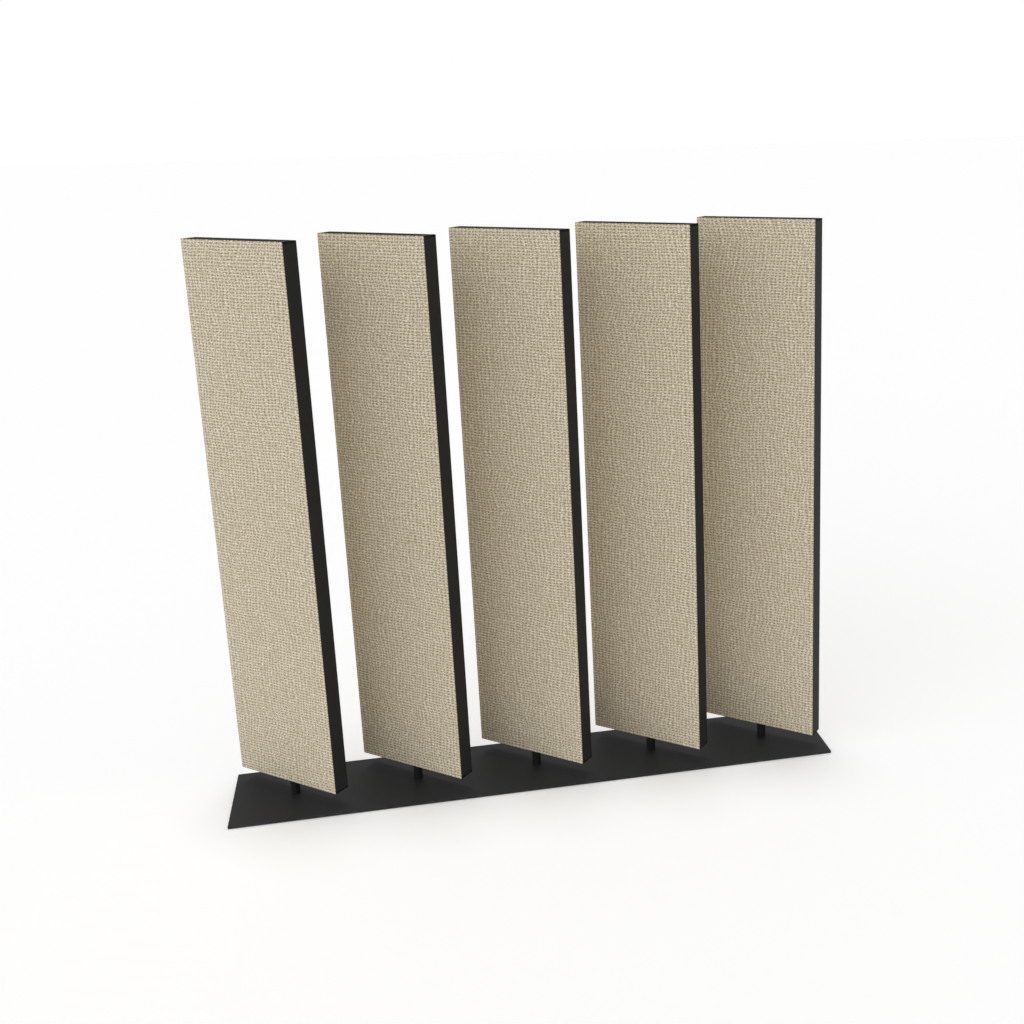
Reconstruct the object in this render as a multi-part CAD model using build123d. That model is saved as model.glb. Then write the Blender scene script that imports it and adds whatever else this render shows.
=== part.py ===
from build123d import *
import os

# A free-standing room divider: a row of tall fabric-faced slats on one steel base plate.
# Each slat hangs over the spindle of a round post and turns on it by hand.
# The origin is on the floor below the middle of the base plate.
# X runs along the row, Y across the plate with the viewer on the -Y side, and Z is up.

# Row of slats
slat_count = 5
slat_pitch = 385.0
slat_height = 1690.0
slat_width = 400.0
slat_thickness = 55.0
slat_turn_degrees = 41.1
slat_lift = 55.0

# Base plate and the pads under it
plate_overhang = 192.5
plate_depth = 340.0
plate_thickness = 6.0
plate_corner_radius = 4.0
plate_edge_break = 0.8
glide_columns = 5
glide_rows = 2
glide_diameter = 40.0
glide_thickness = 2.0
glide_inset = 35.0

# Posts, and the screws that hold each one to the plate
post_diameter = 28.0
spindle_diameter = 20.0
spindle_stand_out = 10.0
spindle_tip_break = 2.0
post_screw_count = 3
post_screw_circle = 15.0
post_screw_diameter = 6.0
post_screw_head = 12.0
post_screw_length = 20.0
post_screw_socket = 4.0
post_screw_socket_depth = 2.2
post_hole_spare_depth = 3.0

# Bearings between post and slat
washer_thickness = 2.0
washer_inset = 0.5
bush_wall = 2.5
bush_length = 25.0
bush_flange_thickness = 3.0
bush_flange_reach = 2.0
pivot_tube_wall = 2.5
pivot_tube_length = 330.0
foot_width = 110.0
foot_depth = 40.0
foot_thickness = 8.0
foot_screw_inset = 11.0

# Slat frame, boards, core and fabric
stile_width = 18.0
stile_wall = 2.0
port_wall = 2.4
port_inset = 11.0
end_plate_thickness = 6.0
board_thickness = 4.0
fabric_thickness = 1.5

# Screws of the slat frame
frame_screw_diameter = 5.0
frame_screw_head = 10.0
frame_screw_socket = 3.0
frame_screw_socket_depth = 1.8

# Clearances, all on the radius or to one side
running_clearance = 0.05
press_clearance = 0.02
thread_clearance = 0.05
screw_hole_clearance = 0.3
entry_clearance = 0.5
core_clearance = 0.5
core_bore_spare_height = 5.0
cut_overrun = 1.0

# Heights above the floor
plate_top = glide_thickness + plate_thickness
slat_bottom = plate_top + slat_lift
slat_top = slat_bottom + slat_height
frame_bottom = slat_bottom + end_plate_thickness
frame_top = slat_top - end_plate_thickness
post_shoulder = frame_bottom - bush_flange_thickness - washer_thickness
pivot_tube_top = frame_bottom + pivot_tube_length
spindle_top = pivot_tube_top + bush_flange_thickness + spindle_stand_out

# Plan sizes worked out from the values above
plate_length = (slat_count - 1) * slat_pitch + 2 * plate_overhang
frame_depth = slat_thickness - 2 * fabric_thickness
core_thickness = frame_depth - 2 * board_thickness
inner_width = slat_width - 2 * stile_width
inner_height = frame_top - frame_bottom
stile_place = (slat_width - stile_width) / 2
port_place = frame_depth / 2 - port_inset

# Radii of the pivot, from the spindle outwards
spindle_radius = spindle_diameter / 2
bush_bore_radius = spindle_radius + running_clearance
bush_radius = bush_bore_radius + bush_wall
bush_flange_radius = bush_radius + bush_flange_reach
pivot_tube_bore_radius = bush_radius + press_clearance
pivot_tube_radius = pivot_tube_bore_radius + pivot_tube_wall
entry_radius = max(post_diameter / 2, bush_flange_radius) + entry_clearance
core_bore_radius = max(pivot_tube_radius, bush_flange_radius) + core_clearance

# The frame screws end level with the top of the pivot tube's foot
frame_screw_length = end_plate_thickness + foot_thickness
foot_screw_x = foot_width / 2 - foot_screw_inset
foot_screw_y = foot_depth / 2 - foot_screw_inset

standing = (Align.CENTER, Align.CENTER, Align.MIN)


def round_bar(radius, bottom, top):
    """An upright cylinder on the Z axis between two heights."""
    return Pos(0, 0, bottom) * Cylinder(radius, top - bottom, align=standing)


def upright_block(width, depth, bottom, top):
    """A block centred on the Z axis between two heights."""
    return Pos(0, 0, bottom) * Box(width, depth, top - bottom, align=standing)


def countersunk_screw(diameter, head, length, socket, socket_depth):
    """A countersunk screw with a hexagon socket, pointing up, its head's face at zero height."""
    cone_height = (head - diameter) / 2
    cone = Cone(head / 2, diameter / 2, cone_height, align=standing)
    shank = round_bar(diameter / 2, cone_height, length)
    recess = extrude(RegularPolygon(socket / 2, 6, major_radius=False), socket_depth)
    return cone + shank - recess


def countersunk_hole(diameter, head, depth):
    """The cut for a countersunk screw that points up from a face at zero height."""
    mouth_radius = head / 2 + press_clearance
    hole_radius = diameter / 2 + screw_hole_clearance
    mouth = round_bar(mouth_radius, -cut_overrun, 0)
    cone = Cone(mouth_radius, hole_radius, mouth_radius - hole_radius, align=standing)
    return mouth + cone + round_bar(hole_radius, 0, depth + cut_overrun)


def post_place(index):
    """The X of one post's axis, with the row centred on the origin."""
    return (index - (slat_count - 1) / 2) * slat_pitch


def slat_location(index):
    """Where one slat stands: on its post's axis, turned so that its right edge comes forward."""
    return Pos(post_place(index), 0, 0) * Rot(0, 0, -slat_turn_degrees)


def post_screw_places():
    """The centres of the screws of every post, on a small circle round its axis."""
    circle = PolarLocations(post_screw_circle / 2, post_screw_count)
    return [Pos(post_place(index), 0, 0) * spot for index in range(slat_count) for spot in circle]


def corner_screw_places():
    """The centres of the four screws that hold an end plate to the two stiles."""
    return [Pos(x, y, 0) for x in (-stile_place, stile_place) for y in (-port_place, port_place)]


def foot_screw_places():
    """The centres of the four screws that hold the pivot tube's foot to the bottom plate."""
    return [Pos(x, y, 0) for x in (-foot_screw_x, foot_screw_x) for y in (-foot_screw_y, foot_screw_y)]


def base_plate():
    """The steel plate, with round corners, a softened upper edge and the post screws' holes."""
    outline = RectangleRounded(plate_length, plate_depth, plate_corner_radius)
    plate = Pos(0, 0, glide_thickness) * extrude(outline, plate_thickness)
    upper_edges = plate.faces().sort_by(Axis.Z)[-1].edges()
    plate = chamfer(upper_edges, plate_edge_break)
    hole = countersunk_hole(post_screw_diameter, post_screw_head, plate_thickness)
    cuts = [Pos(0, 0, glide_thickness) * spot * hole for spot in post_screw_places()]
    return plate - cuts


def floor_glides():
    """Thin round pads in two rows under the plate."""
    column_step = (plate_length - 2 * glide_inset) / (glide_columns - 1)
    row_step = (plate_depth - 2 * glide_inset) / (glide_rows - 1)
    pad = round_bar(glide_diameter / 2, 0, glide_thickness)
    return [spot * pad for spot in GridLocations(column_step, row_step, glide_columns, glide_rows)]


def post():
    """A turned steel post: full size up to the slat, then a slimmer spindle inside it."""
    body = round_bar(post_diameter / 2, plate_top, post_shoulder)
    spindle = round_bar(spindle_radius, post_shoulder, spindle_top)
    spindle = chamfer(spindle.edges().sort_by(Axis.Z)[-1], spindle_tip_break)
    hole_radius = post_screw_diameter / 2 + thread_clearance
    hole_top = glide_thickness + post_screw_length + post_hole_spare_depth
    hole = round_bar(hole_radius, plate_top - cut_overrun, hole_top)
    holes = [spot * hole for spot in PolarLocations(post_screw_circle / 2, post_screw_count)]
    return body + spindle - holes


def post_screws():
    """The countersunk screws that come up through the plate into every post."""
    screw = countersunk_screw(post_screw_diameter, post_screw_head, post_screw_length,
                              post_screw_socket, post_screw_socket_depth)
    return [Pos(0, 0, glide_thickness) * spot * screw for spot in post_screw_places()]


def thrust_washer():
    """The plastic ring on the post's shoulder that carries the slat."""
    ring = round_bar(post_diameter / 2 - washer_inset, post_shoulder, post_shoulder + washer_thickness)
    return ring - round_bar(bush_bore_radius, post_shoulder - cut_overrun, spindle_top)


def stile():
    """An upright hollow profile with two screw ports, each held to its near wall by a rib."""
    outline = Rectangle(stile_width, frame_depth)
    hollow = Rectangle(stile_width - 2 * stile_wall, frame_depth - 2 * stile_wall)
    bore_radius = frame_screw_diameter / 2 + thread_clearance
    section = outline - hollow
    for side in (-1, 1):
        rib_length = port_inset - stile_wall / 2
        rib_middle = side * (port_place + rib_length / 2)
        section += Pos(0, rib_middle) * Rectangle(port_wall, rib_length)
        section += Pos(0, side * port_place) * Circle(bore_radius + port_wall)
    for side in (-1, 1):
        section -= Pos(0, side * port_place) * Circle(bore_radius)
    return Pos(0, 0, frame_bottom) * extrude(section, inner_height)


def top_plate():
    """The flat bar across the top of the slat, screwed down into the stiles."""
    plate = upright_block(slat_width, frame_depth, frame_top, slat_top)
    hole = countersunk_hole(frame_screw_diameter, frame_screw_head, end_plate_thickness)
    turned_down = Pos(0, 0, slat_top) * Rot(180, 0, 0)
    return plate - [spot * turned_down * hole for spot in corner_screw_places()]


def bottom_plate():
    """The flat bar across the foot of the slat, with the hole that the post comes through."""
    plate = upright_block(slat_width, frame_depth, slat_bottom, frame_bottom)
    hole = countersunk_hole(frame_screw_diameter, frame_screw_head, end_plate_thickness)
    places = corner_screw_places() + foot_screw_places()
    cuts = [Pos(0, 0, slat_bottom) * spot * hole for spot in places]
    entry = round_bar(entry_radius, slat_bottom - cut_overrun, frame_bottom + cut_overrun)
    return plate - cuts - entry


def face_boards():
    """The front and rear boards, let in between the stiles and the end plates."""
    place = (frame_depth - board_thickness) / 2
    board = upright_block(inner_width, board_thickness, frame_bottom, frame_top)
    return [Pos(0, side * place, 0) * board for side in (-1, 1)]


def fabric(side):
    """The fabric bonded over one face of the slat, out to all four edges."""
    place = (slat_thickness - fabric_thickness) / 2
    return Pos(0, side * place, 0) * upright_block(slat_width, fabric_thickness, slat_bottom, slat_top)


def core():
    """The sound-absorbing fill, cut out for the pivot tube, its foot and the spindle's tip."""
    fill = upright_block(inner_width, core_thickness, frame_bottom, frame_top)
    bore = round_bar(core_bore_radius, frame_bottom - cut_overrun, spindle_top + core_bore_spare_height)
    pocket = upright_block(foot_width + 2 * core_clearance, foot_depth + 2 * core_clearance,
                           frame_bottom - cut_overrun, frame_bottom + foot_thickness + core_clearance)
    return fill - bore - pocket


def pivot_tube():
    """The steel tube that turns on the spindle, welded into a foot on the bottom plate."""
    tube = round_bar(pivot_tube_radius, frame_bottom, pivot_tube_top)
    foot = upright_block(foot_width, foot_depth, frame_bottom, frame_bottom + foot_thickness)
    bore = round_bar(pivot_tube_bore_radius, frame_bottom - cut_overrun, pivot_tube_top + cut_overrun)
    hole = round_bar(frame_screw_diameter / 2 + thread_clearance, frame_bottom - cut_overrun,
                     frame_bottom + foot_thickness + cut_overrun)
    return tube + foot - bore - [spot * hole for spot in foot_screw_places()]


def bush():
    """A flanged plastic bush standing on its flange, with the flange's upper face at zero height."""
    sleeve = round_bar(bush_radius, 0, bush_length)
    flange = round_bar(bush_flange_radius, -bush_flange_thickness, 0)
    bore = round_bar(bush_bore_radius, -bush_flange_thickness - cut_overrun, bush_length + cut_overrun)
    return sleeve + flange - bore


def bushes():
    """One bush pressed into each end of the pivot tube."""
    lower = Pos(0, 0, frame_bottom) * bush()
    upper = Pos(0, 0, pivot_tube_top) * Rot(180, 0, 0) * bush()
    return [lower, upper]


def frame_screws():
    """The screws through both end plates, and those into the pivot tube's foot."""
    screw = countersunk_screw(frame_screw_diameter, frame_screw_head, frame_screw_length,
                              frame_screw_socket, frame_screw_socket_depth)
    turned_down = Pos(0, 0, slat_top) * Rot(180, 0, 0)
    lower = [Pos(0, 0, slat_bottom) * spot * screw for spot in corner_screw_places() + foot_screw_places()]
    upper = [spot * turned_down * screw for spot in corner_screw_places()]
    return lower + upper


def write(name, pieces, location=Pos(0, 0, 0)):
    """Writes one node, a single piece or a group of them, at its place."""
    group = pieces if isinstance(pieces, list) else [pieces]
    solids = [solid for piece in group for solid in (location * piece).solids()]
    node = solids[0] if len(solids) == 1 else Compound(children=solids)
    export_step(node, f"parts/{name}.step")


def write_base():
    """Everything that stays still on the floor."""
    write("base_plate", base_plate())
    write("floor_glides", floor_glides())
    write("post_screws", post_screws())
    write("thrust_washers", [Pos(post_place(index), 0, 0) * thrust_washer() for index in range(slat_count)])
    for index in range(slat_count):
        write(f"post_{index + 1}", post(), Pos(post_place(index), 0, 0))


def write_slats():
    """The same pieces for every slat, left to right."""
    pieces = {
        "stiles": [Pos(side * stile_place, 0, 0) * stile() for side in (-1, 1)],
        "top_plate": top_plate(),
        "bottom_plate": bottom_plate(),
        "face_boards": face_boards(),
        "front_fabric": fabric(-1),
        "rear_fabric": fabric(1),
        "core": core(),
        "pivot_tube": pivot_tube(),
        "bushes": bushes(),
        "frame_screws": frame_screws(),
    }
    for index in range(slat_count):
        for name, piece in pieces.items():
            write(f"slat_{index + 1}_{name}", piece, slat_location(index))


os.makedirs("parts", exist_ok=True)
write_base()
write_slats()
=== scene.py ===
import math

import bpy
import numpy as np
from mathutils import Euler, Matrix, Vector


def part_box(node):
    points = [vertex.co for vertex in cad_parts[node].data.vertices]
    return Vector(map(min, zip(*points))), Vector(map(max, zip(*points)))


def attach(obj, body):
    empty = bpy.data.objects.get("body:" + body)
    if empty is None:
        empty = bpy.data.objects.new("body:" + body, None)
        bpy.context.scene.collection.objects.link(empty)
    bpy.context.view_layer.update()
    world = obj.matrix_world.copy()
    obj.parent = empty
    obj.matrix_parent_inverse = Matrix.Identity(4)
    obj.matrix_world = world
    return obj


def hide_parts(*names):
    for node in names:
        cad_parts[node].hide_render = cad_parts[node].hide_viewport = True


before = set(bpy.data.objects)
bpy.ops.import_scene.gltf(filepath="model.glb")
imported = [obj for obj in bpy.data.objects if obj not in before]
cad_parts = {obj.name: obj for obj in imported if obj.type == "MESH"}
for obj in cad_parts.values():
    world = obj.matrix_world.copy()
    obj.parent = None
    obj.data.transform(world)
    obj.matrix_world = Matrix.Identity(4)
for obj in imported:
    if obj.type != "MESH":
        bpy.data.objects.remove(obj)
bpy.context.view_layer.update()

scene = bpy.context.scene
millimetre = 0.001


# The view of the divider: it is seen from the front and a little from its left end, from above
# the slats' tops, with a lens wide enough that the near slat leans in the picture.
eye_place = (-0.36495, -3.92042, 2.06902)
eye_turn_degrees = (75.2151, 1.3976, -12.0847)
eye_lens_mm = 45.8753
eye_shift = (-0.14648, -0.05259)
eye_reach = (0.05, 200.0)

eye = bpy.data.objects.new("eye", bpy.data.cameras.new("eye"))
eye.location = eye_place
eye.rotation_euler = Euler([math.radians(angle) for angle in eye_turn_degrees], "XYZ")
eye.data.lens = eye_lens_mm
eye.data.shift_x, eye.data.shift_y = eye_shift
eye.data.clip_start, eye.data.clip_end = eye_reach
scene.collection.objects.link(eye)
scene.camera = eye


# The studio: an even white surround that lights the divider from every side, a very wide soft light
# from low on the left, a narrower one from overhead, and a pale matt floor that runs white into the
# distance and keeps the divider's soft shadow.
surround_strength = 0.42
seen_strength = 1.0
white = (1.0, 1.0, 1.0, 1.0)
floor_tone = (0.94, 0.94, 0.94, 1.0)
floor_glow = 0.14
floor_size = 160.0
# For each light, the direction that it comes from, its strength and how wide it is in degrees.
lights = {
    "soft_light_left": ((-0.86, -0.50, 0.06), 1.62, 90.0),
    "soft_light_above": ((0.02, 0.09, 1.0), 1.18, 15.0),
}


class Wire:
    """A value inside a finish, so that sums on it are written as plain expressions."""

    def __init__(self, recipe, socket):
        self.recipe = recipe
        self.socket = socket

    def __add__(self, other):
        return self.recipe.maths("ADD", self, other)

    def __radd__(self, other):
        return self.recipe.maths("ADD", other, self)

    def __sub__(self, other):
        return self.recipe.maths("SUBTRACT", self, other)

    def __rsub__(self, other):
        return self.recipe.maths("SUBTRACT", other, self)

    def __mul__(self, other):
        return self.recipe.maths("MULTIPLY", self, other)

    def __rmul__(self, other):
        return self.recipe.maths("MULTIPLY", other, self)

    def __pow__(self, other):
        return self.recipe.maths("POWER", self, other)

    def __abs__(self):
        return self.recipe.maths("ABSOLUTE", self)

    def __gt__(self, other):
        return self.recipe.maths("GREATER_THAN", self, other)


class Recipe:
    """The nodes of one finish, of the floor or of the surround."""

    def __init__(self, owner):
        owner.use_nodes = True
        self.tree = owner.node_tree
        self.tree.nodes.clear()

    def node(self, kind, settings=(), sockets=(), output=0):
        """Adds a node: its settings are set first, then the values or links of its sockets."""
        made = self.tree.nodes.new(kind)
        for name, value in dict(settings).items():
            setattr(made, name, value)
        for name, value in dict(sockets).items():
            if isinstance(value, Wire):
                self.tree.links.new(value.socket, made.inputs[name])
            else:
                made.inputs[name].default_value = value
        return Wire(self, made.outputs[output]) if made.outputs else None

    def maths(self, operation, *values):
        return self.node("ShaderNodeMath", {"operation": operation}, dict(enumerate(values)))

    def blend(self, share, first, second):
        """A colour between two others."""
        return self.node("ShaderNodeMix", {"data_type": "RGBA"},
                         {0: share, 6: first, 7: second}, output=2)

    def ease(self, value, low, high):
        """Goes smoothly from 0 at low to 1 at high."""
        return self.node("ShaderNodeMapRange", {"interpolation_type": "SMOOTHSTEP"},
                         {"Value": value, "From Min": low, "From Max": high})

    def seen_directly(self):
        """1 where the eye, a gloss or glass sees it, and 0 where it only sheds light."""
        rays = [self.node("ShaderNodeLightPath", output=name)
                for name in ("Is Camera Ray", "Is Glossy Ray", "Is Transmission Ray")]
        return self.maths("MAXIMUM", self.maths("MAXIMUM", rays[0], rays[1]), rays[2])

    def either(self, share, first, second):
        """A mix of two surfaces or lights: the first at a share of 0 and the second at 1."""
        return self.node("ShaderNodeMixShader", {}, {0: share, 1: first, 2: second})


surround = bpy.data.worlds.new("surround")
recipe = Recipe(surround)
shed = recipe.node("ShaderNodeBackground", {}, {"Color": white, "Strength": surround_strength})
seen = recipe.node("ShaderNodeBackground", {}, {"Color": white, "Strength": seen_strength})
recipe.node("ShaderNodeOutputWorld", {},
            {"Surface": recipe.either(recipe.seen_directly(), shed, seen)})
scene.world = surround

floor_paint = bpy.data.materials.new("floor_paint")
recipe = Recipe(floor_paint)
matt = recipe.node("ShaderNodeBsdfDiffuse", {}, {"Color": floor_tone})
glow = recipe.node("ShaderNodeEmission", {}, {"Color": white, "Strength": floor_glow})
bright = recipe.node("ShaderNodeAddShader", {}, {0: matt, 1: glow})
recipe.node("ShaderNodeOutputMaterial", {},
            {"Surface": recipe.either(recipe.seen_directly(), matt, bright)})

half_floor = floor_size / 2
floor_corners = [(-half_floor, -half_floor, 0), (half_floor, -half_floor, 0),
                 (half_floor, half_floor, 0), (-half_floor, half_floor, 0)]
floor_mesh = bpy.data.meshes.new("floor")
floor_mesh.from_pydata(floor_corners, [], [(0, 1, 2, 3)])
floor_mesh.materials.append(floor_paint)
floor = bpy.data.objects.new("floor", floor_mesh)
scene.collection.objects.link(floor)

for name, (comes_from, strength, spread_degrees) in lights.items():
    lamp = bpy.data.objects.new(name, bpy.data.lights.new(name, "SUN"))
    lamp.data.energy = strength
    lamp.data.angle = math.radians(spread_degrees)
    lamp.rotation_euler = Vector(comes_from).to_track_quat("Z", "Y").to_euler()
    scene.collection.objects.link(lamp)


# The base plate: one long flat plate of 6 mm steel with barely rounded corners, powder coated in
# matt black. It is cut on a laser, its upper edge is broken, and it rests on thin pads.
plate_black = (0.0265, 0.0265, 0.027, 1.0)
plate_cloud = (0.0315, 0.0315, 0.032, 1.0)
plate_rubbed = (0.050, 0.050, 0.050, 1.0)
plate_shine = 0.08
coat_roughness = 0.60
coat_grain_scale = 900.0
coat_grain_depth = 0.00006
coat_cloud_scale = 9.0
coat_speck_scale = 260.0
coat_rub_scale = 55.0
coat_cloud_gloss = 0.10
coat_grain_gloss = 0.08
coat_worn_gloss = 0.12
speck_share = 0.12
rub_width = 0.0022


class Finish(Recipe):
    """The finish of one kind of piece: a material with one surface."""

    def __init__(self, name):
        self.material = bpy.data.materials.new(name)
        super().__init__(self.material)

    def place(self):
        """Where a point lies on the piece, in metres along the piece's own axes."""
        return self.node("ShaderNodeTexCoord", output="Object")

    def parts(self, vector):
        """The three parts of a place, each as a value."""
        return [self.node("ShaderNodeSeparateXYZ", {}, {0: vector}, output=i) for i in range(3)]

    def joined(self, x, y, z):
        return self.node("ShaderNodeCombineXYZ", {}, {0: x, 1: y, 2: z})

    def scaled(self, vector, factors):
        """A place with each of its parts made longer or shorter."""
        return self.node("ShaderNodeVectorMath", {"operation": "MULTIPLY"},
                         {0: vector, 1: factors})

    def turned(self, vector, centre, degrees):
        """A place as seen from a piece that stands at centre and is turned about the upright."""
        moved = self.node("ShaderNodeVectorMath", {"operation": "SUBTRACT"},
                          {0: vector, 1: centre})
        return self.node("ShaderNodeVectorRotate", {"rotation_type": "Z_AXIS"},
                         {"Vector": moved, "Angle": math.radians(-degrees)})

    def noise(self, at, scale, detail=2.0, crispness=0.5):
        return self.node("ShaderNodeTexNoise", {},
                         {"Vector": at, "Scale": scale, "Detail": detail, "Roughness": crispness})

    def surface(self, sockets, relief=None, depth=0.0):
        """The finished surface. Relief is a height from 0 to 1, and depth its size in metres."""
        if relief is not None:
            sockets["Normal"] = self.node("ShaderNodeBump", {},
                                          {"Strength": 1.0, "Distance": depth, "Height": relief})
        made = self.node("ShaderNodeBsdfPrincipled", {}, sockets)
        self.node("ShaderNodeOutputMaterial", {}, {"Surface": made})
        return self.material


def powder_coat(name, tones, shine, at_edge=None):
    """Matt black powder coat: a fine pebbled skin with faint clouds, small specks and edges that
    are rubbed a little paler. The tones are those of the coat, its clouds and its rubbed spots,
    and at_edge gives how near a point is to an edge, from 0 to 1."""
    black, cloud, rubbed = tones
    coat = Finish(name)
    at = coat.place()
    pebbles = coat.noise(at, coat_grain_scale, 2.0, 0.6)
    clouds = coat.noise(at, coat_cloud_scale, 3.0, 0.6)
    specks = coat.ease(coat.noise(at, coat_speck_scale, 1.0), 0.66, 0.72)
    rub = coat.noise(at, coat_rub_scale, 3.0, 0.7)
    worn = specks * speck_share
    if at_edge:
        worn = coat.maths("MAXIMUM", worn, at_edge(coat) * coat.ease(rub, 0.42, 0.62))
    return coat.surface({
        "Base Color": coat.blend(worn, coat.blend(clouds, black, cloud), rubbed),
        "Roughness": (coat_roughness + coat_cloud_gloss * (clouds - 0.5)
                      + coat_grain_gloss * (pebbles - 0.5) - coat_worn_gloss * worn),
        "Specular IOR Level": shine,
    }, pebbles, coat_grain_depth)


def dress(node, material):
    """Gives a CAD piece its finish."""
    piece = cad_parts[node]
    for slot in piece.material_slots:
        slot.material = material
    return piece


plate_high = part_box("base_plate")[1]


def near_plate_edge(coat):
    """1 at the plate's outer edge, and 0 a few millimetres in from it."""
    x, y, _ = coat.parts(coat.place())
    to_end = plate_high.x - abs(x)
    to_side = plate_high.y - abs(y)
    return 1 - coat.ease(coat.maths("MINIMUM", to_end, to_side), 0.0, rub_width)


plate_tones = (plate_black, plate_cloud, plate_rubbed)
dress("base_plate", powder_coat("plate_coat", plate_tones, plate_shine, near_plate_edge))


# The pads under the plate: thin round discs of black rubber, punched from sheet and stuck on in two
# rows, so that the steel doesn't touch the floor.


def srgb(red, green, blue):
    """A colour given as on a paint chart, from 0 to 255, as the light it gives back."""
    def light(value):
        part = value / 255
        return part / 12.92 if part <= 0.04045 else ((part + 0.055) / 1.055) ** 2.4
    return (light(red), light(green), light(blue), 1.0)


rubber_black = srgb(34, 34, 34)
rubber_dusty = srgb(48, 47, 46)
rubber_grain_scale = 700.0
rubber_grain_depth = 0.0001

rubber = Finish("pad_rubber")
grain = rubber.noise(rubber.place(), rubber_grain_scale, 3.0, 0.7)
dress("floor_glides", rubber.surface({
    "Base Color": rubber.blend(grain, rubber_black, rubber_dusty),
    "Roughness": 0.75 + 0.15 * grain,
}, grain, rubber_grain_depth))


# The five posts: turned from round steel bar, with a slimmer spindle that runs up inside the slat,
# and powder coated like the plate. Three countersunk screws hold each from below.
slat_count = 5
post_black = (0.016, 0.016, 0.0165, 1.0)
post_cloud = (0.021, 0.021, 0.0215, 1.0)
post_shine = 0.08
spindle_grey = srgb(150, 150, 152)
spindle_bright = srgb(190, 190, 192)
spindle_roughness = 0.28
turning_marks = (30.0, 30.0, 2600.0)
shoulder_fade = 0.0004
spindle_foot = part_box("thrust_washers")[0].z


def above_the_shoulder(coat):
    """1 on the bare spindle and 0 on the coated post."""
    height = coat.parts(coat.place())[2]
    return coat.ease(height, spindle_foot - shoulder_fade, spindle_foot + shoulder_fade)


def post_finish():
    """Powder coat up to the shoulder, and bright turned steel above it."""
    coat = Finish("post_coat")
    at = coat.place()
    pebbles = coat.noise(at, coat_grain_scale, 2.0, 0.6)
    clouds = coat.noise(at, coat_cloud_scale, 3.0, 0.6)
    rings = coat.noise(coat.scaled(at, turning_marks), 1.0, 2.0)
    bare = above_the_shoulder(coat)
    black = coat.blend(clouds, post_black, post_cloud)
    steel = coat.blend(rings, spindle_grey, spindle_bright)
    coated_roughness = coat_roughness + coat_grain_gloss * (pebbles - 0.5)
    turned_roughness = spindle_roughness + 0.12 * rings
    return coat.surface({
        "Base Color": coat.blend(bare, black, steel),
        "Metallic": bare,
        "Roughness": coated_roughness * (1 - bare) + turned_roughness * bare,
        "Specular IOR Level": post_shine,
    }, pebbles * (1 - bare) + rings * bare, coat_grain_depth)


post_coat = post_finish()
for number in range(1, slat_count + 1):
    dress(f"post_{number}", post_coat)


# The screws from below into the posts: countersunk, with a hexagon socket, turned from steel and
# blackened in a bath of hot salts that leaves a thin, faintly blotched oxide.
oxide_black = srgb(24, 24, 26)
oxide_grey = srgb(52, 51, 52)
oxide_bloom_scale = 420.0
oxide_marks = (60.0, 60.0, 1800.0)
oxide_mark_depth = 0.00004

oxide = Finish("screw_oxide")
at = oxide.place()
bloom = oxide.noise(at, oxide_bloom_scale, 3.0, 0.65)
scratches = oxide.noise(oxide.scaled(at, oxide_marks), 1.0, 2.0)
screw_oxide = oxide.surface({
    "Base Color": oxide.blend(bloom, oxide_black, oxide_grey),
    "Metallic": 0.7,
    "Roughness": 0.42 + 0.22 * bloom,
}, scratches, oxide_mark_depth)
dress("post_screws", screw_oxide)


# The thrust washers: rings of white low-friction plastic, turned on a lathe. They lie loose on the
# posts' shoulders and carry the slats.
washer_white = srgb(224, 223, 216)
washer_shade = srgb(206, 205, 197)
plastic_haze_scale = 120.0
plastic_marks = (90.0, 90.0, 3000.0)
plastic_mark_depth = 0.00002


def bearing_plastic(name, tone, shade):
    """White plastic with a faint haze and the fine rings that turning leaves."""
    plastic = Finish(name)
    at = plastic.place()
    haze = plastic.noise(at, plastic_haze_scale, 2.0)
    turning = plastic.noise(plastic.scaled(at, plastic_marks), 1.0, 1.0)
    return plastic.surface({
        "Base Color": plastic.blend(haze, tone, shade),
        "Roughness": 0.38 + 0.14 * haze,
    }, turning, plastic_mark_depth)


dress("thrust_washers", bearing_plastic("washer_plastic", washer_white, washer_shade))


# The slats' frames: hollow black aluminium profiles down both long edges, closed at both ends by
# flat bars that are screwed into them. Each slat stands on its own post's axis and is turned.
slat_turn_degrees = -41.1
slat_pitch = 0.385
frame_bevel = 0.0006
bar_black = (0.007, 0.007, 0.007, 1.0)
bar_cloud = (0.010, 0.010, 0.010, 1.0)
bar_rubbed = (0.026, 0.026, 0.026, 1.0)
bar_tones = (bar_black, bar_cloud, bar_rubbed)
bar_shine = 0.01
profile_black = (0.025, 0.025, 0.025, 1.0)
profile_cloud = (0.030, 0.030, 0.030, 1.0)
profile_rubbed = (0.045, 0.045, 0.045, 1.0)
profile_shine = 0.045
profile_roughness = 0.50
profile_lines = (2200.0, 2200.0, 3.0)
profile_line_depth = 0.00003
profile_cloud_scale = 6.0
profile_rub_scale = 40.0
slat_half_width = 0.2
slat_half_frame = 0.026
slat_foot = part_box("slat_1_bottom_plate")[0].z
slat_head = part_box("slat_1_top_plate")[1].z


def soften(piece, width, segments=2, over_degrees=40):
    """Breaks a piece's sharp edges."""
    bevel = piece.modifiers.new("softened_edges", "BEVEL")
    bevel.width = width
    bevel.segments = segments
    bevel.limit_method = "ANGLE"
    bevel.angle_limit = math.radians(over_degrees)
    bevel.harden_normals = False
    return piece


def slat_centre(number):
    """The axis of a slat, on the floor."""
    return ((number - (slat_count + 1) / 2) * slat_pitch, 0.0, 0.0)


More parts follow.
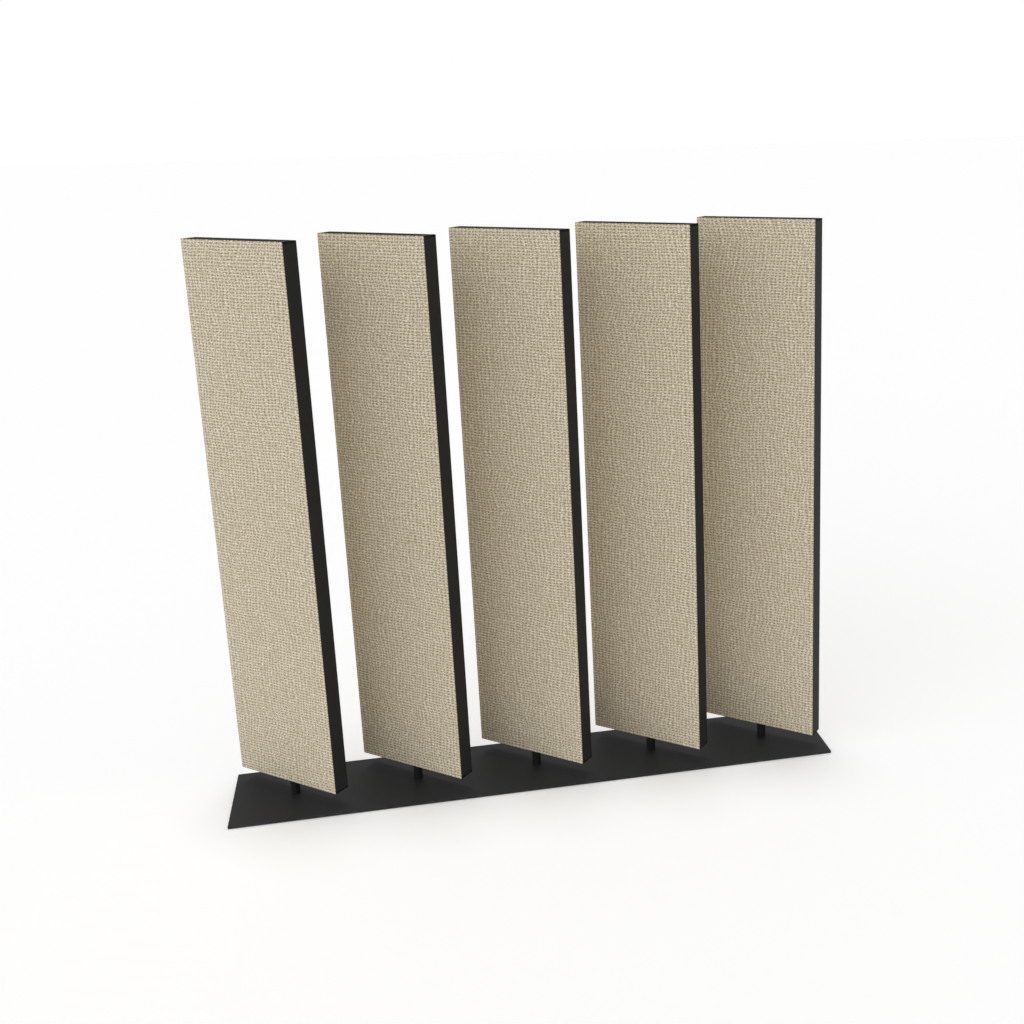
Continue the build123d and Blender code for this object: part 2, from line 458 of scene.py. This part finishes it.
def profile_finish(number):
    """Black anodised profile: fine upright drawing lines, and a brushed gleam at its corners."""
    skin = Finish(f"profile_{number}")
    at = skin.turned(skin.place(), slat_centre(number), slat_turn_degrees)
    x, y, _ = skin.parts(at)
    lines = skin.noise(skin.scaled(at, profile_lines), 1.0, 3.0, 0.6)
    clouds = skin.noise(at, profile_cloud_scale, 3.0, 0.6)
    to_face = slat_half_frame - abs(y)
    to_side = slat_half_width - abs(x)
    corner = 1 - skin.ease(to_face + to_side, 0.0004, 0.0028)
    worn = corner * skin.ease(skin.noise(at, profile_rub_scale, 3.0, 0.7), 0.44, 0.66)
    black = skin.blend(clouds, profile_black, profile_cloud)
    return skin.surface({
        "Base Color": skin.blend(worn, black, profile_rubbed),
        "Roughness": (profile_roughness + 0.12 * (lines - 0.5) + 0.10 * (clouds - 0.5)
                      - 0.10 * worn),
        "Specular IOR Level": profile_shine,
    }, lines, profile_line_depth)


def end_plate_finish(number):
    """The powder coated bar across an end of the slat, rubbed along its edges."""
    def near_bar_edge(coat):
        at = coat.turned(coat.place(), slat_centre(number), slat_turn_degrees)
        x, y, _ = coat.parts(at)
        nearest = coat.maths("MINIMUM", slat_half_width - abs(x), slat_half_frame - abs(y))
        return 1 - coat.ease(nearest, 0.0, rub_width)
    return powder_coat(f"end_plate_{number}", bar_tones, bar_shine, near_bar_edge)


for number in range(1, slat_count + 1):
    soften(dress(f"slat_{number}_stiles", profile_finish(number)), frame_bevel)
    bar_coat = end_plate_finish(number)
    dress(f"slat_{number}_top_plate", bar_coat)
    dress(f"slat_{number}_bottom_plate", bar_coat)


# The screws of the frames: countersunk, with a hexagon socket, blackened like the others. They run
# through the bars into the profiles and lie flush.
for number in range(1, slat_count + 1):
    dress(f"slat_{number}_frame_screws", screw_oxide)


# The pivots: in each slat a drawn steel tube that is welded into a flat steel foot. The foot is
# screwed to the bottom bar, and the tube stands in the filling and takes the post's spindle.
tube_light = srgb(176, 178, 181)
tube_dark = srgb(138, 140, 144)
draw_marks = (1500.0, 1500.0, 4.0)
draw_mark_depth = 0.00003
stain_scale = 26.0

drawn_steel = Finish("drawn_steel")
at = drawn_steel.place()
draw_lines = drawn_steel.noise(drawn_steel.scaled(at, draw_marks), 1.0, 3.0, 0.6)
stain = drawn_steel.noise(at, stain_scale, 4.0, 0.6)
pivot_steel = drawn_steel.surface({
    "Base Color": drawn_steel.blend(stain, tube_light, tube_dark),
    "Metallic": 1.0,
    "Roughness": 0.30 + 0.16 * stain + 0.08 * draw_lines,
}, draw_lines, draw_mark_depth)
for number in range(1, slat_count + 1):
    dress(f"slat_{number}_pivot_tube", pivot_steel)


# The bushes: flanged plastic sleeves of the washers' kind, pressed into both ends of the tube, in
# which the spindle turns.
bush_white = srgb(222, 220, 212)
bush_shade = srgb(204, 202, 193)

bush_plastic = bearing_plastic("bush_plastic", bush_white, bush_shade)
for number in range(1, slat_count + 1):
    dress(f"slat_{number}_bushes", bush_plastic)


# The face boards: sheets of thin pressed fibreboard, brown and flecked, let into the frame on both
# faces of the slat as a flat bed for the cloth.
board_light = srgb(178, 149, 112)
board_dark = srgb(138, 109, 76)
fleck_dark = srgb(92, 68, 45)
fleck_share = 0.7
felt_grain = (260.0, 260.0, 190.0)
felt_depth = 0.00012
fleck_grain = (900.0, 900.0, 420.0)
press_cloud_scale = 5.0

fibreboard = Finish("fibreboard")
at = fibreboard.place()
felted = fibreboard.noise(fibreboard.scaled(at, felt_grain), 1.0, 6.0, 0.7)
fleck_noise = fibreboard.noise(fibreboard.scaled(at, fleck_grain), 1.0, 2.0)
flecks = fibreboard.ease(fleck_noise, 0.64, 0.72)
pressed = fibreboard.noise(at, press_cloud_scale, 3.0)
board_brown = fibreboard.blend(felted, board_dark, board_light)
board_face = fibreboard.surface({
    "Base Color": fibreboard.blend(flecks * fleck_share, board_brown, fleck_dark),
    "Roughness": 0.72 + 0.14 * felted + 0.05 * pressed,
}, felted, felt_depth)
for number in range(1, slat_count + 1):
    dress(f"slat_{number}_face_boards", board_face)


# The filling: a slab of pale mineral wool that fills the slat between the boards and deadens
# sound. It is cut with a knife, with a round channel for the tube and a pocket for its foot.
filling_width = 364 * millimetre
filling_depth = 44 * millimetre
filling_bottom, filling_top = (corner.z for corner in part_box("slat_1_core"))
filling_corner = 2.5 * millimetre
foot_pocket = (111 * millimetre, 41 * millimetre, 8.5 * millimetre)
tube_channel_radius = 16.0 * millimetre
tube_channel_top = 417 * millimetre
side_steps = 12
height_steps = 24
wool_light = srgb(206, 203, 192)
wool_dark = srgb(164, 160, 148)
wool_swirl_scale = 30.0
wool_strands = (700.0, 700.0, 120.0)
wool_depth = 0.0012


def box_ring(width, depth, height):
    """Points round an upright slab's outline, the same number on each of its four sides."""
    corners = [(-1, -1), (1, -1), (1, 1), (-1, 1)]
    ring = []
    for (ax, ay), (bx, by) in zip(corners, corners[1:] + corners[:1]):
        for step in range(side_steps):
            share = step / side_steps
            ring.append(((ax + (bx - ax) * share) * width / 2,
                         (ay + (by - ay) * share) * depth / 2, height))
    return ring


def round_ring(radius, height):
    """Points round a circle, which match those of a box_ring."""
    count = 4 * side_steps
    start = -3 * math.pi / 4
    angles = [start + 2 * math.pi * step / count for step in range(count)]
    return [(radius * math.cos(a), radius * math.sin(a), height) for a in angles]


def skin_of(rings, name):
    """A closed body through rings of equal counts, with a flat face over the first and last."""
    count = len(rings[0])
    points = [point for ring in rings for point in ring]
    faces = [(k * count + i, k * count + (i + 1) % count,
              (k + 1) * count + (i + 1) % count, (k + 1) * count + i)
             for k in range(len(rings) - 1) for i in range(count)]
    faces.append(tuple(reversed(range(count))))
    faces.append(tuple(range((len(rings) - 1) * count, len(rings) * count)))
    made = bpy.data.meshes.new(name)
    made.from_pydata(points, [], faces)
    made.update()
    return made


def filling_rings():
    """From the top of the tube's channel down to the pocket, out, and up the outside."""
    pocket_width, pocket_depth, pocket_height = foot_pocket
    pocket_top = filling_bottom + pocket_height
    inside = [round_ring(tube_channel_radius, tube_channel_top),
              round_ring(tube_channel_radius, pocket_top),
              box_ring(pocket_width, pocket_depth, pocket_top),
              box_ring(pocket_width, pocket_depth, filling_bottom)]
    turns = [share * math.pi / 2 for share in (0.0, 0.3, 0.7, 1.0)]
    lower = [box_ring(filling_width - 2 * filling_corner * (1 - math.sin(turn)),
                      filling_depth - 2 * filling_corner * (1 - math.sin(turn)),
                      filling_bottom + filling_corner * (1 - math.cos(turn)))
             for turn in turns]
    levels = [filling_bottom + (filling_top - filling_bottom) * step / height_steps
              for step in range(1, height_steps)]
    walls = [box_ring(filling_width, filling_depth, level) for level in levels]
    upper = [box_ring(filling_width - 2 * filling_corner * (1 - math.cos(turn)),
                      filling_depth - 2 * filling_corner * (1 - math.cos(turn)),
                      filling_top - filling_corner * (1 - math.sin(turn)))
             for turn in turns]
    return inside + lower + walls + upper


wool = Finish("mineral_wool")
at = wool.place()
swirl = wool.noise(at, wool_swirl_scale, 3.0, 0.6)
strands = wool.noise(wool.scaled(at, wool_strands), 1.0, 5.0, 0.75)
wool_finish = wool.surface({
    "Base Color": wool.blend(wool.ease(strands + 0.5 * swirl, 0.45, 1.0), wool_dark, wool_light),
    "Roughness": 0.88 + 0.08 * strands,
}, strands, wool_depth)


def stand_in_slat(number, name, mesh, half_turn=False):
    """Puts a new piece in its slat, in the slat's own axes, and lets it turn with the slat. After a
    half turn, what faces the front faces the rear."""
    piece = bpy.data.objects.new(name, mesh)
    scene.collection.objects.link(piece)
    turn = slat_turn_degrees + (180 if half_turn else 0)
    piece.matrix_world = (Matrix.Translation(slat_centre(number))
                          @ Matrix.Rotation(math.radians(turn), 4, "Z"))
    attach(piece, f"slat_{number}")
    return piece


for number in range(1, slat_count + 1):
    slab = skin_of(filling_rings(), f"slat_{number}_filling")
    slab.materials.append(wool_finish)
    filling = stand_in_slat(number, f"slat_{number}_filling", slab)
    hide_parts(f"slat_{number}_core")


# The cloth: a coarse plain weave of thick beige yarns, the level yarns fuller than the upright
# ones, so that short gaps show in rows, with painted shade in them. It is stretched and bonded over
# each face, out to all four edges, where its cut edge is sealed in black.
cloth_columns = 32
cloth_rows = 185
cloth_width = 400 * millimetre
cloth_thickness = 1.5 * millimetre
cloth_front = 27.5 * millimetre
cloth_turn_back = 0.8 * millimetre
# Round the edge: how far out, and how far back from the face.
cloth_rim = [(0.55 * millimetre, 0.25 * millimetre),
             (cloth_turn_back, 0.7 * millimetre),
             (cloth_turn_back, cloth_thickness)]
yarn_relief = 0.45 * millimetre
row_unevenness = 0.07
column_unevenness = 0.46
level_yarn_wander = 0.13
upright_yarn_wander = 0.40
# No line wanders further than this share of its room, and no yarn is narrower than this share of
# the mean, or faces of the cloth would fold over.
wander_room = 0.40
narrowest_yarn = 0.45
# The weave's own relief, from -1 to 1: at the corners of the crossings, between yarns and on them.
corner_height = -1.0
between_rows_height = -0.45
between_columns_height = 0.05
level_yarn_height = 1.0
upright_yarn_height = 0.6
yarn_swell = 0.3
# How many grid points apart the slow changes of a yarn's width, swell and course are drawn.
width_knots = 14
swell_knots = 6
level_wander_knots = 4
upright_wander_knots = 2
# The yarns' tones, from the darkest to the palest. The palest also serves as the painted highlight
# on the yarns' crowns, and the darkest also as painted shade where they dip.
yarn_pale_and_highlight = srgb(242, 234, 215)
yarn_mid = srgb(208, 196, 172)
yarn_shade = srgb(188, 175, 149)
# The painted shade in the gaps between the yarns.
gap_painted_shade = srgb(146, 133, 106)
# How round each yarn is across, how full it is, and how much of that it loses where it dives.
level_yarn_roundness, level_yarn_fullness, level_yarn_dive = 1.2, 0.72, 0.28
upright_yarn_roundness, upright_yarn_fullness, upright_yarn_dive = 0.9, 0.62, 0.38
# What makes a yarn lighter or darker: its tone, fibres and slubs, each crossing, and painted light
# from its height: a painted highlight on its crown and painted shade where it dips.
mean_lightness = 0.45
tone_share = 0.3
fibre_share = 0.5
slub_share = 1.2
stitch_share = 0.12
painted_crown_light_share = 0.45
mean_height = 0.6
slubs_per_cell = 2.7
# The heights between which the painted shade of the gaps fades out.
gap_low, gap_high = 0.18, 0.60
fibre_relief = 0.18
yarn_bump_depth = 0.0008


def drift(rng, lines, points, every):
    """A slow random drift along each of many lines, about -1 to 1."""
    knots = points // every + 2
    values = rng.normal(0.0, 0.5, (lines, knots))
    spots = np.linspace(0, knots - 1, points)
    return np.array([np.interp(spots, np.arange(knots), row) for row in values])


def uneven_lines(rng, count, points, unevenness):
    """Where count yarns and the lines between them lie, from 0 to 1, at points along them: each
    yarn is a little wider or narrower than the next, and its width changes slowly."""
    drifted = 1.0 + unevenness * drift(rng, count, points, width_knots)
    widths = np.maximum(drifted, narrowest_yarn)
    edges = np.vstack([np.zeros(points), np.cumsum(np.repeat(widths, 2, axis=0), axis=0)])
    return edges / edges[-1]


def wandered(places, shifts):
    """Moves the inner lines sideways, each by less than half of its room to the next one, so that
    no two of them cross and no face of the cloth folds over."""
    room = np.diff(places, axis=1)
    moved = places.copy()
    moved[:, 1:-1] += np.clip(shifts[:, 1:-1], -wander_room * room[:, :-1],
                              wander_room * room[:, 1:])
    return moved


def woven_relief(rng, up, across):
    """How far each grid point stands out: crowns on the yarns, dips at the crossings' corners."""
    rows, columns = np.indices((up, across))
    crown = (rows % 2 == 1) & (columns % 2 == 1)
    between_rows = (rows % 2 == 0) & (columns % 2 == 1)
    between_columns = (rows % 2 == 1) & (columns % 2 == 0)
    level_on_top = (rows // 2 + columns // 2) % 2 == 0
    relief = np.full((up, across), corner_height)
    relief[between_rows] = between_rows_height
    relief[between_columns] = between_columns_height
    relief[crown & level_on_top] = level_yarn_height
    relief[crown & ~level_on_top] = upright_yarn_height
    fullness = 1.0 + yarn_swell * drift(rng, up, across, swell_knots)
    return relief * fullness


def cloth_mesh(name, seed):
    """One face's cloth in the slat's own axes, facing -Y: a woven face, a rim that is turned
    back round the edge, and a flat back on the board."""
    rng = np.random.default_rng(seed)
    across, up = 2 * cloth_columns + 1, 2 * cloth_rows + 1
    half = cloth_width / 2 - cloth_turn_back
    low, high = slat_foot + cloth_turn_back, slat_head - cloth_turn_back
    x = -half + 2 * half * uneven_lines(rng, cloth_columns, up, column_unevenness).T
    z = low + (high - low) * uneven_lines(rng, cloth_rows, across, row_unevenness)
    inner = np.ones((up, across))
    inner[[0, -1], :] = 0
    inner[:, [0, -1]] = 0
    row_step, column_step = (high - low) / cloth_rows, 2 * half / cloth_columns
    level_drift = inner * drift(rng, up, across, level_wander_knots)
    upright_drift = inner * drift(rng, across, up, upright_wander_knots).T
    z = wandered(z.T, level_yarn_wander * row_step * level_drift.T).T
    x = wandered(x, upright_yarn_wander * column_step * upright_drift)
    y = -cloth_front - inner * woven_relief(rng, up, across) * yarn_relief

    points = np.stack([x, y, z], -1).reshape(-1, 3)
    row_at, column_at = np.indices((up, across))
    weave = np.stack([column_at / 2, row_at / 2], -1).reshape(-1, 2)
    number_at = np.arange(up * across).reshape(up, across)
    quads = np.stack([number_at[:-1, :-1], number_at[:-1, 1:],
                      number_at[1:, 1:], number_at[1:, :-1]], -1).reshape(-1, 4)
    faces = [tuple(q) for q in quads.tolist()]

    # The rim: loops of points round the woven face, each further out or further back.
    border = np.concatenate([number_at[0, :-1], number_at[:-1, -1],
                             number_at[-1, :0:-1], number_at[:0:-1, 0]])
    sideways = np.sign(points[border, 0]) * (np.abs(points[border, 0]) > half - 1e-6)
    upward = (points[border, 2] > high - 1e-6) * 1.0 - (points[border, 2] < low + 1e-6) * 1.0
    loops = [border]
    for offset, depth in cloth_rim:
        ring = points[border].copy()
        ring[:, 0] += sideways * offset
        ring[:, 2] += upward * offset
        ring[:, 1] = -cloth_front + depth
        shift = np.stack([sideways * offset / column_step, upward * offset / row_step], -1)
        loops.append(np.arange(len(points), len(points) + len(ring)))
        points = np.concatenate([points, ring])
        weave = np.concatenate([weave, weave[border] + shift])
    for inside, outside in zip(loops, loops[1:]):
        for a, b, c, d in zip(inside, np.roll(inside, -1), np.roll(outside, -1), outside):
            faces.append((int(a), int(d), int(c), int(b)))
    rim_faces = slice(len(quads) + len(border), len(faces))

    # The back: strips from the right edge to the left, one for each step up.
    rim = loops[-1].tolist()
    bottom = rim[:across]
    right = rim[across - 1:across + up - 1]
    top = rim[across + up - 2:2 * across + up - 2]
    left = rim[2 * across + up - 3:] + rim[:1]
    left = left[::-1]
    faces.append(tuple(bottom[::-1] + [left[1], right[1]]))
    for k in range(1, up - 2):
        faces.append((right[k], left[k], left[k + 1], right[k + 1]))
    faces.append(tuple(top[::-1] + [right[-2], left[-2]]))

    made = bpy.data.meshes.new(name)
    made.from_pydata(points.tolist(), [], faces)
    corner_points = np.empty(len(made.loops), np.int32)
    made.loops.foreach_get("vertex_index", corner_points)
    finish_of = np.zeros(len(made.polygons), np.int32)
    finish_of[rim_faces] = 1
    made.polygons.foreach_set("material_index", finish_of)
    layer = made.uv_layers.new(name="weave")
    layer.uv.foreach_set("vector", weave[corner_points].astype(np.float32).ravel())
    made.polygons.foreach_set("use_smooth", np.ones(len(made.polygons), bool))
    made.set_sharp_from_angle(angle=math.radians(60))
    made.update()
    return made


def cloth_finish():
    """Thick slubby yarns over and under each other, with a painted highlight where they stand up
    and painted shade where they dip and in the gaps between them. The weft is the level yarns and
    the warp the upright ones, both counted in cells of the weave."""
    cloth = Finish("coarse_plain_weave")
    across, up, _ = cloth.parts(cloth.node("ShaderNodeUVMap", {"uv_map": "weave"}))
    column, row = cloth.maths("FLOOR", across), cloth.maths("FLOOR", up)
    wave_across = cloth.maths("SINE", across * math.pi)
    wave_up = cloth.maths("SINE", up * math.pi)
    weft_course = wave_across * cloth.maths("SIGN", wave_up)
    warp_course = wave_up * cloth.maths("SIGN", wave_across)
    weft = (abs(wave_up) ** level_yarn_roundness
            * (level_yarn_fullness + level_yarn_dive * weft_course))
    warp = (abs(wave_across) ** upright_yarn_roundness
            * (upright_yarn_fullness - upright_yarn_dive * warp_course))
    height = cloth.maths("MAXIMUM", weft, warp)
    weft_on_top = weft > warp
    weft_tone = cloth.noise(cloth.joined(across * 0.8, row * 3.71, 0.0), 1.0, 2.0, 0.6)
    warp_tone = cloth.noise(cloth.joined(column * 3.71, up * 0.8, 9.0), 1.0, 2.0, 0.6)
    tone = warp_tone + weft_on_top * (weft_tone - warp_tone)
    weft_fibre = cloth.noise(cloth.joined(across * 3.0, up * 14.0, 3.0), 1.0, 3.0, 0.7)
    warp_fibre = cloth.noise(cloth.joined(across * 14.0, up * 3.0, 6.0), 1.0, 3.0, 0.7)
    fibre = warp_fibre + weft_on_top * (weft_fibre - warp_fibre)
    stitch = cloth.node("ShaderNodeTexWhiteNoise", {"noise_dimensions": "2D"},
                        {"Vector": cloth.joined(cloth.maths("ROUND", across),
                                                cloth.maths("ROUND", up), 0.0)})
    slub_at = cloth.joined(across * slubs_per_cell, up * slubs_per_cell, 5.0)
    slub = cloth.noise(slub_at, 1.0, 0.0)
    # The yarn's lightness: its own tones, plus painted light from its height, a painted highlight
    # on the crown and painted shade where it dips.
    lightness = (mean_lightness + tone_share * (tone - 0.5) + fibre_share * (fibre - 0.5)
                 + slub_share * (slub - 0.5) + stitch_share * (stitch - 0.5)
                 + painted_crown_light_share * (height - mean_height))
    yarn = cloth.blend(cloth.ease(lightness, 0.15, 0.55), yarn_shade, yarn_mid)
    yarn = cloth.blend(cloth.ease(lightness, 0.45, 0.85), yarn, yarn_pale_and_highlight)
    # Painted shade in the gaps between the yarns, wherever the yarns' height is low.
    ragged = height + 0.35 * (slub - 0.5) + 0.10 * (fibre - 0.5)
    shade_in_gaps = 1 - cloth.ease(ragged, gap_low, gap_high)
    return cloth.surface({
        "Base Color": cloth.blend(shade_in_gaps, yarn, gap_painted_shade),
        "Roughness": 0.88 + 0.08 * fibre,
        "Specular IOR Level": 0.2,
        "Sheen Weight": 0.10,
        "Sheen Roughness": 0.6,
    }, height + fibre_relief * fibre, yarn_bump_depth)


woven = cloth_finish()
sealed_edge = powder_coat("sealed_edge", bar_tones, bar_shine)
for number in range(1, slat_count + 1):
    for side, half_turn, seed in (("front", False, 100 + number), ("rear", True, 200 + number)):
        mesh = cloth_mesh(f"slat_{number}_{side}_cloth", seed)
        mesh.materials.append(woven)
        mesh.materials.append(sealed_edge)
        cloth = stand_in_slat(number, f"slat_{number}_{side}_cloth", mesh, half_turn)
        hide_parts(f"slat_{number}_{side}_fabric")


# Set the render up.
scene.view_settings.view_transform = "Standard"
